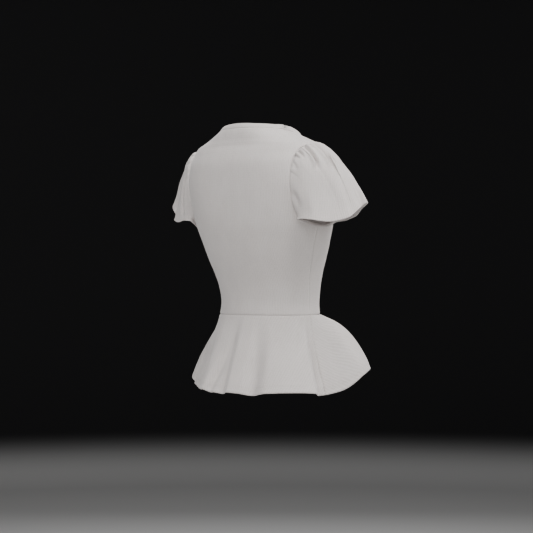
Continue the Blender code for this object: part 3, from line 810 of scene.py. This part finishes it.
PEPLUM_BACK_FOLDS = [
    Fold(((0.486, 0.18), (0.446, 0.52), (0.420, 0.75), (0.398, 1.00)), 0.0085, 0.0062, 0.3, 0.6, 0.8, 0.0),
    Fold(((0.275, 0.15), (0.250, 0.43), (0.220, 0.62), (0.190, 1.00)), 0.0075, 0.0050, 0.3, 0.5, 0.8, 0.0),
    Fold(((0.942, 0.03), (0.908, 0.33), (0.870, 0.66)), 0.0070, 0.0022, 0.4, 0.4, 0.3, 0.5),
    Fold(((0.975, 0.08), (0.952, 0.40), (0.930, 0.75)), 0.0060, 0.0018, 0.4, 0.4, 0.3, 0.5),
    Fold(((0.720, 0.30), (0.700, 0.62), (0.676, 1.00)), 0.0140, 0.0026, 0.3, 0.3, 0.7, 0.0),
    Fold(((0.060, 0.20), (0.075, 0.60), (0.085, 1.00)), 0.0090, 0.0034, 0.3, 0.3, 0.7, 0.0),
]
PEPLUM_FRONT_FOLDS = [
    Fold(((0.340, 0.15), (0.348, 0.55), (0.352, 1.00)), 0.0085, 0.0040, 0.4, 0.4, 0.7, 0.0),
    Fold(((0.500, 0.10), (0.506, 0.52), (0.500, 1.00)), 0.0080, 0.0040, 0.4, 0.4, 0.7, 0.0),
    Fold(((0.655, 0.18), (0.650, 0.60), (0.652, 1.00)), 0.0090, 0.0044, 0.4, 0.4, 0.7, 0.0),
    Fold(((0.120, 0.12), (0.112, 0.45), (0.108, 0.80)), 0.0110, 0.0030, 0.3, 0.3, 0.4, 0.4),
    Fold(((0.890, 0.12), (0.898, 0.50), (0.905, 1.00)), 0.0100, 0.0036, 0.3, 0.3, 0.7, 0.0),
]


class BlouseSizes(PropertyGroup):
    """Sizes of the cloth and its sewing."""

    cloth_thickness: FloatProperty(
        name="Cloth thickness", description="Thickness of one layer of the crepe",
        default=0.0012, min=0.0005, max=0.003, unit="LENGTH",
    )
    peplum_length: FloatProperty(
        name="Peplum length", description="Waist seam to hem, along the cloth",
        default=0.166, min=0.08, max=0.3, unit="LENGTH",
    )
    peplum_hem: FloatProperty(
        name="Peplum hem", description="Depth of the cloth turned up inside the peplum",
        default=0.015, min=0.005, max=0.04, unit="LENGTH",
    )
    sleeve_hem: FloatProperty(
        name="Sleeve hem", description="Depth of the cloth turned up inside the sleeves",
        default=0.006, min=0.003, max=0.03, unit="LENGTH",
    )
    head_puff: FloatProperty(
        name="Sleeve head puff", description="Rise of the gathered cloth past the armhole",
        default=0.006, min=0.0, max=0.02, unit="LENGTH",
    )
    neckband_width: FloatProperty(
        name="Neckband width", description="Width of the folded band round the neck",
        default=0.011, min=0.005, max=0.03, unit="LENGTH",
    )
    stitch_length: FloatProperty(
        name="Stitch length", description="Length of one stitch that shows",
        default=0.0026, min=0.001, max=0.006, unit="LENGTH",
    )
    stitch_gap: FloatProperty(
        name="Stitch gap", description="Gap between two stitches of a row",
        default=0.0007, min=0.0002, max=0.003, unit="LENGTH",
    )
    thread: FloatProperty(
        name="Thread", description="Diameter of the sewing thread",
        default=0.0005, min=0.0002, max=0.001, unit="LENGTH",
    )
    seam_depth: FloatProperty(
        name="Seam depth", description="How far the cloth dives into a seam",
        default=0.0008, min=0.0, max=0.002, unit="LENGTH",
    )


class BlouseLooks(PropertyGroup):
    """Colours and texture of the cloth and thread, with the painted shade of the cloth's valleys."""

    # The cloth colour on the raised ribs; the next colour is a darker copy of it painted as shade into the
    # valleys.
    cloth: FloatVectorProperty(
        name="Cloth", description="Colour of the crepe's raised ribs",
        default=(0.645, 0.608, 0.594), subtype="COLOR", min=0.0, max=1.0,
    )
    # Painted shade: the darker colour painted into the valleys between the ribs and puckers.
    painted_valley_shade: FloatVectorProperty(
        name="Valleys", description="Colour between the ribs",
        default=(0.475, 0.436, 0.420), subtype="COLOR", min=0.0, max=1.0,
    )
    thread: FloatVectorProperty(
        name="Thread", description="Colour of the sewing thread",
        default=(0.60, 0.56, 0.53), subtype="COLOR", min=0.0, max=1.0,
    )
    roughness: FloatProperty(
        name="Roughness", description="Roughness of the cloth", default=0.9, min=0.0, max=1.0,
    )
    sheen: FloatProperty(
        name="Sheen", description="Soft bright edge of the cloth", default=0.3, min=0.0, max=1.0,
    )
    rib_pitch: FloatProperty(
        name="Rib pitch", description="Distance between the lengthwise ribs",
        default=0.0033, min=0.001, max=0.01, unit="LENGTH",
    )
    tick_pitch: FloatProperty(
        name="Tick pitch", description="Distance between the faint cross rows",
        default=0.0046, min=0.001, max=0.01, unit="LENGTH",
    )
    relief_depth: FloatProperty(
        name="Relief depth", description="Height of the ribs and puckers",
        default=0.0006, min=0.0, max=0.003, unit="LENGTH",
    )
    relief_strength: FloatProperty(
        name="Relief strength", description="Strength of the ribs and puckers",
        default=0.6, min=0.0, max=1.0,
    )


class BlouseStudio(PropertyGroup):
    """Camera, floor and lights."""

    camera_bearing: FloatProperty(
        name="Camera bearing", description="Turn from centre back to the wearer's right",
        default=radians(42), subtype="ANGLE",
    )
    camera_distance: FloatProperty(
        name="Camera distance", description="Level distance to the middle of the blouse",
        default=3.2, min=0.5, unit="LENGTH",
    )
    camera_height: FloatProperty(
        name="Camera height", description="Height of the lens above the neck points",
        default=-0.2855, unit="LENGTH",
    )
    camera_aside: FloatProperty(
        name="Camera aside", description="Step to the camera's right",
        default=0.0094, unit="LENGTH",
    )
    lens: FloatProperty(
        name="Lens", description="Focal length on a 36 mm sensor", default=103.7, min=10.0,
        unit="CAMERA",
    )
    floor_height: FloatProperty(
        name="Floor height", description="Floor under a standing wearer",
        default=-1.40, unit="LENGTH",
    )
    floor: FloatVectorProperty(
        name="Floor", description="Colour of the floor", default=(0.58, 0.58, 0.58),
        subtype="COLOR", min=0.0, max=1.0,
    )
    backdrop: FloatVectorProperty(
        name="Backdrop", description="Colour of the backdrop above the floor",
        default=(0.02, 0.02, 0.021), subtype="COLOR", min=0.0, max=1.0,
    )
    fill_power: FloatProperty(
        name="Fill power", description="Power of the soft light beside the camera",
        default=64.0, min=0.0, unit="POWER",
    )
    top_power: FloatProperty(
        name="Top power", description="Power of the wide light overhead",
        default=94.0, min=0.0, unit="POWER",
    )
    side_power: FloatProperty(
        name="Side power", description="Power of the edge light on the near sleeve's side",
        default=34.0, min=0.0, unit="POWER",
    )
    far_power: FloatProperty(
        name="Far power", description="Power of the edge light on the other side",
        default=12.0, min=0.0, unit="POWER",
    )


def add_light(name, place, target, size, power, colour):
    data = bpy.data.lights.new(name, "AREA")
    data.shape = "RECTANGLE"
    data.size, data.size_y = size
    data.energy = power
    data.color = colour
    lamp = bpy.data.objects.new(name, data)
    lamp.location = place
    lamp.rotation_euler = (Vector(target) - Vector(place)).to_track_quat("-Z", "Y").to_euler()
    lamp.visible_camera = False
    bpy.context.scene.collection.objects.link(lamp)


def stage_material(studio):
    """Pale floor that turns into the darker backdrop as it rises."""
    material, nodes, links = new_material("studio_sweep")
    shader = nodes["Principled BSDF"]
    shader.inputs["Roughness"].default_value = 0.9
    shader.inputs["Specular IOR Level"].default_value = 0.1
    place = nodes.new("ShaderNodeTexCoord")
    parts = nodes.new("ShaderNodeSeparateXYZ")
    links.new(place.outputs["Object"], parts.inputs["Vector"])
    rise = nodes.new("ShaderNodeMapRange")
    rise.interpolation_type = "SMOOTHERSTEP"
    rise.inputs["From Min"].default_value = studio.floor_height + 0.002
    rise.inputs["From Max"].default_value = studio.floor_height + 0.22
    links.new(parts.outputs["Z"], rise.inputs["Value"])
    tone = nodes.new("ShaderNodeMix")
    tone.data_type = "RGBA"
    tone.inputs["A"].default_value = (*studio.floor, 1.0)
    tone.inputs["B"].default_value = (*studio.backdrop, 1.0)
    links.new(rise.outputs["Result"], tone.inputs["Factor"])
    links.new(tone.outputs["Result"], shader.inputs["Base Color"])
    return material


class BLOUSE_OT_studio(Operator):
    """Add the camera, the floor with its backdrop and the soft lights"""

    bl_idname = "blouse.studio"
    bl_label = "Studio"

    def execute(self, context):
        studio = context.scene.blouse_studio
        turn = studio.camera_bearing
        behind = Vector((-np.sin(turn), np.cos(turn), 0.0))
        right = Vector((-np.cos(turn), -np.sin(turn), 0.0))
        up = Vector((0.0, 0.0, 1.0))
        middle = Vector((0.0, 0.0, studio.camera_height))

        lens = bpy.data.cameras.new("camera")
        lens.sensor_width = 36.0
        lens.lens = studio.lens
        camera = bpy.data.objects.new("camera", lens)
        camera.location = middle + behind * studio.camera_distance + right * studio.camera_aside
        camera.rotation_euler = (pi / 2, 0.0, pi + turn)
        context.scene.collection.objects.link(camera)
        context.scene.camera = camera

        flat, bend, high = 4.6, 1.4, 5.0
        profile = [(flat * k / 6, 0.0) for k in range(7)]
        profile += [(flat + bend * np.sin(a), bend * (1 - np.cos(a))) for a in np.linspace(0, pi / 2, 13)[1:]]
        profile += [(flat + bend, bend + (high - bend) * k / 4) for k in range(1, 5)]
        sides = 96
        bm = bmesh.new()
        rings = []
        for radius, rise in profile[1:]:
            rings.append([
                bm.verts.new((
                    radius * np.cos(2 * pi * k / sides),
                    radius * np.sin(2 * pi * k / sides),
                    studio.floor_height + rise,
                ))
                for k in range(sides)
            ])
        centre = bm.verts.new((0, 0, studio.floor_height))
        for k in range(sides):
            m = (k + 1) % sides
            bm.faces.new((centre, rings[0][k], rings[0][m]))
            for near, far in zip(rings, rings[1:]):
                bm.faces.new((near[k], far[k], far[m], near[m]))
        bmesh.ops.recalc_face_normals(bm, faces=bm.faces)
        mesh = bpy.data.meshes.new("studio_sweep")
        bm.to_mesh(mesh)
        bm.free()
        mesh.shade_smooth()
        mesh.materials.append(stage_material(studio))
        sweep = bpy.data.objects.new("studio_sweep", mesh)
        context.scene.collection.objects.link(sweep)

        add_light(
            "fill_light", middle + behind * 2.6 + up * 1.1 - right * 0.5, middle,
            (2.2, 1.8), studio.fill_power, (1.0, 0.985, 0.97),
        )
        add_light(
            "top_light", middle + behind * 0.9 + right * 0.9 + up * 2.3, middle,
            (2.0, 2.0), studio.top_power, (1.0, 0.99, 0.98),
        )
        add_light(
            "side_light", middle - behind * 0.7 + right * 2.3 + up * 0.5, middle + up * 0.1,
            (0.9, 2.2), studio.side_power, (1.0, 0.985, 0.965),
        )
        add_light(
            "far_light", middle - behind * 0.7 - right * 2.3 + up * 0.5, middle + up * 0.05,
            (0.9, 2.2), studio.far_power, (0.97, 0.985, 1.0),
        )
        add_light(
            "front_light", middle - behind * 2.8 + up * 1.2, middle,
            (2.2, 1.8), studio.fill_power * 0.6, (1.0, 1.0, 1.0),
        )
        world = bpy.data.worlds.new("studio_air")
        world.use_nodes = True
        air = world.node_tree.nodes["Background"]
        air.inputs["Color"].default_value = (0.5, 0.5, 0.51, 1.0)
        air.inputs["Strength"].default_value = 0.16
        context.scene.world = world
        return {"FINISHED"}


class BLOUSE_OT_bodice(Operator):
    """Sew the back and the front of the bodice"""

    bl_idname = "blouse.bodice"
    bl_label = "Bodice"

    def execute(self, context):
        sizes, looks = context.scene.blouse_sizes, context.scene.blouse_looks
        for node, behind, folds in (
            ("bodice_back", True, BACK_FOLDS),
            ("bodice_front", False, FRONT_FOLDS),
        ):
            grid = bodice_grid(behind)
            normals = body_normal(grid)
            across = girth_from_centre(grid[..., 0], grid[..., 2], behind)
            grain = np.stack([across, grid[..., 2]], -1)
            from_waist, from_left = lengths(grid, 0), lengths(grid, 1)
            from_neck = from_waist[-1:] - from_waist
            from_side = np.minimum(from_left, from_left[:, -1:] - from_left)
            relief = fold_relief(grid, normals, folds)
            relief += ripple(grid, 0.050, 0.12, 0.0004, 1 + behind)
            relief += seam_dip(from_side, sizes.seam_depth * 0.6)
            relief += seam_dip(from_waist, sizes.seam_depth)
            relief += seam_dip(from_neck, sizes.seam_depth * 0.6)
            grid = grid + normals * relief[..., None]
            extra = np.zeros(grid.shape[:2])
            shell = sew_shell(
                f"cloth_{node}", grid, normals, grain, sizes.cloth_thickness, extra, cloth_of(looks)
            )
            put_on_frame(shell, node)
        return {"FINISHED"}


class BLOUSE_OT_sleeves(Operator):
    """Sew both gathered flutter sleeves with their narrow hems"""

    bl_idname = "blouse.sleeves"
    bl_label = "Sleeves"

    def execute(self, context):
        sizes, looks = context.scene.blouse_sizes, context.scene.blouse_looks
        for node, stations, side, folds in (
            ("sleeve_left", SLEEVE_LEFT, 1, SLEEVE_LEFT_FOLDS),
            ("sleeve_right", SLEEVE_RIGHT, -1, SLEEVE_RIGHT_FOLDS),
        ):
            grid, turn, down, stand_off = sleeve_grid(stations, sizes.head_puff)
            normals = sheet_normal(grid, closed=True)
            normals[0] = stand_off
            relief = fold_relief(grid, normals, folds)
            relief += ripple(grid, 0.022, 0.07, 0.0012, 5 + side) * ease(down / 0.15)
            relief += seam_dip(lengths(grid, 0), sizes.seam_depth)
            grid = grid + normals * relief[..., None]
            normals = sheet_normal(grid, closed=True)
            normals[0] = stand_off
            mirror = np.array([side, 1.0, 1.0])
            grid, normals = grid * mirror, normals * mirror
            from_seam = lengths(grid, 0)
            bearing = np.arctan2(grid[..., 1], np.abs(grid[..., 0]) - SLEEVE_GRAIN_CENTRE)
            grain = np.stack([bearing * SLEEVE_GRAIN_RADIUS, grid[..., 2]], -1)
            from_hem = from_seam[-1:] - from_seam
            extra = 0.8 * sizes.cloth_thickness * ease((sizes.sleeve_hem - from_hem) / 0.0015 + 1)
            shell = sew_shell(
                f"cloth_{node}", grid, normals, grain, sizes.cloth_thickness, extra, cloth_of(looks)
            )
            line = line_near_edge(grid, normals, sizes.sleeve_hem - 0.0012)
            stitches = sew_stitches(f"stitches_{node}", [line], sizes, looks)
            put_on_frame(shell, node)
        return {"FINISHED"}


class BLOUSE_OT_peplum(Operator):
    """Sew both halves of the flared peplum with their twin-stitched hem"""

    bl_idname = "blouse.peplum"
    bl_label = "Peplum"

    def execute(self, context):
        sizes, looks = context.scene.blouse_sizes, context.scene.blouse_looks
        for node, first, folds in (
            ("peplum_back", 0, PEPLUM_BACK_FOLDS),
            ("peplum_front", 180, PEPLUM_FRONT_FOLDS),
        ):
            grid, bearing, reach, drop = peplum_grid(first, first + 180, sizes.peplum_length)
            normals = -sheet_normal(grid, closed=False)
            from_waist = lengths(grid, 0)
            relief = fold_relief(grid, normals, folds)
            relief += ripple(grid, 0.026, 0.08, 0.0012, 9 + first) * ease(from_waist / 0.05)
            from_left = lengths(grid, 1)
            from_side = np.minimum(from_left, from_left[:, -1:] - from_left)
            relief += seam_dip(from_side, sizes.seam_depth * 0.6)
            relief += seam_dip(from_waist, sizes.seam_depth)
            from_hem = from_waist[-1:] - from_waist
            for row in (sizes.peplum_hem - 0.0015, sizes.peplum_hem - 0.0065):
                relief -= 0.0004 * np.exp(-(((from_hem - row) / 0.0012) ** 2))
            grid = grid + normals * relief[..., None]
            normals = -sheet_normal(grid, closed=False)
            normals[0] = level(normals[0])
            turn = np.radians(bearing - first - 90) * PEPLUM_GRAIN_TURN
            radius = 0.2 + from_waist
            grain = np.stack([radius * np.sin(turn), radius * np.cos(turn)], -1)
            extra = 0.8 * sizes.cloth_thickness * ease((sizes.peplum_hem - from_hem) / 0.0015 + 1)
            shell = sew_shell(
                f"cloth_{node}", grid, normals, grain, sizes.cloth_thickness, extra, cloth_of(looks)
            )
            rows = [
                line_near_edge(grid, normals, sizes.peplum_hem - back)
                for back in (0.0015, 0.0065)
            ]
            stitches = sew_stitches(f"stitches_{node}", rows, sizes, looks)
            put_on_frame(shell, node)
        return {"FINISHED"}


class BLOUSE_OT_neckband(Operator):
    """Sew the narrow folded band round the neck"""

    bl_idname = "blouse.neckband"
    bl_label = "Neckband"

    def execute(self, context):
        sizes, looks = context.scene.blouse_sizes, context.scene.blouse_looks
        back = bodice_grid(behind=True)[-1]
        front = bodice_grid(behind=False)[-1]
        left, right = (back[0] + front[-1]) / 2, (back[-1] + front[0]) / 2
        edge = np.concatenate([[left], back[1:-1], [right], front[1:-1], [left]])
        bearing = np.degrees(np.arctan2(edge[:, 1] - edge[:-1, 1].mean(), edge[:, 0]))
        lean = round_table(column(NECKBAND_LEAN, "bearing"), column(NECKBAND_LEAN, "up"), 360.0)
        tilt = np.radians(lean(bearing))[:, None]
        run = np.gradient(edge, axis=0)
        run[0] = run[-1] = edge[1] - edge[-2]
        run = unit(run)
        inward = level(np.cross(np.array([0, 0, 1.0]), run))
        rise = unit(inward * np.cos(tilt) + np.array([0, 0, 1.0]) * np.sin(tilt))
        rise = unit(rise - run * (rise * run).sum(axis=1, keepdims=True))
        rise = unit(soften_round(rise, NECK_CORNER_COLUMNS))
        down = np.linspace(0, 1, NECKBAND_ROWS + 1)
        grid = edge + rise * (SEAM_GAP + sizes.neckband_width * down)[:, None, None]
        normals = sheet_normal(grid, closed=True)
        crown = 0.0006 * np.sin(pi * down) - 0.0005 * np.exp(-down / 0.08)
        grid = grid + normals * crown[:, None, None]
        normals = sheet_normal(grid, closed=True)
        around = lengths(grid, 1)
        grain = np.stack([around, lengths(grid, 0)], -1)
        extra = np.full(grid.shape[:2], 0.0005)
        shell = sew_shell(
            "cloth_neckband", grid, normals, grain, sizes.cloth_thickness, extra, cloth_of(looks)
        )
        put_on_frame(shell, "neckband")
        return {"FINISHED"}


class BLOUSE_PT_sidebar(Panel):
    """Sizes, looks and steps of the blouse"""

    bl_idname = "BLOUSE_PT_sidebar"
    bl_label = "Peplum Blouse"
    bl_space_type = "VIEW_3D"
    bl_region_type = "UI"
    bl_category = "Blouse"

    def draw(self, context):
        scene = context.scene
        for group in (scene.blouse_sizes, scene.blouse_looks, scene.blouse_studio):
            box = self.layout.box()
            for name in group.__annotations__:
                box.prop(group, name)
        for operator in OPERATORS:
            self.layout.operator(operator.bl_idname)


OPERATORS = (
    BLOUSE_OT_studio,
    BLOUSE_OT_bodice,
    BLOUSE_OT_sleeves,
    BLOUSE_OT_peplum,
    BLOUSE_OT_neckband,
)
CLASSES = (BlouseSizes, BlouseLooks, BlouseStudio, *OPERATORS, BLOUSE_PT_sidebar)


def register():
    for cls in CLASSES:
        bpy.utils.register_class(cls)
    bpy.types.Scene.blouse_sizes = PointerProperty(type=BlouseSizes)
    bpy.types.Scene.blouse_looks = PointerProperty(type=BlouseLooks)
    bpy.types.Scene.blouse_studio = PointerProperty(type=BlouseStudio)


def unregister():
    del bpy.types.Scene.blouse_sizes
    del bpy.types.Scene.blouse_looks
    del bpy.types.Scene.blouse_studio
    for cls in reversed(CLASSES):
        bpy.utils.unregister_class(cls)


def main():
    register()
    bpy.ops.blouse.studio()
    bpy.ops.blouse.bodice()
    bpy.ops.blouse.sleeves()
    bpy.ops.blouse.peplum()
    bpy.ops.blouse.neckband()


if __name__ == "__main__":
    main()
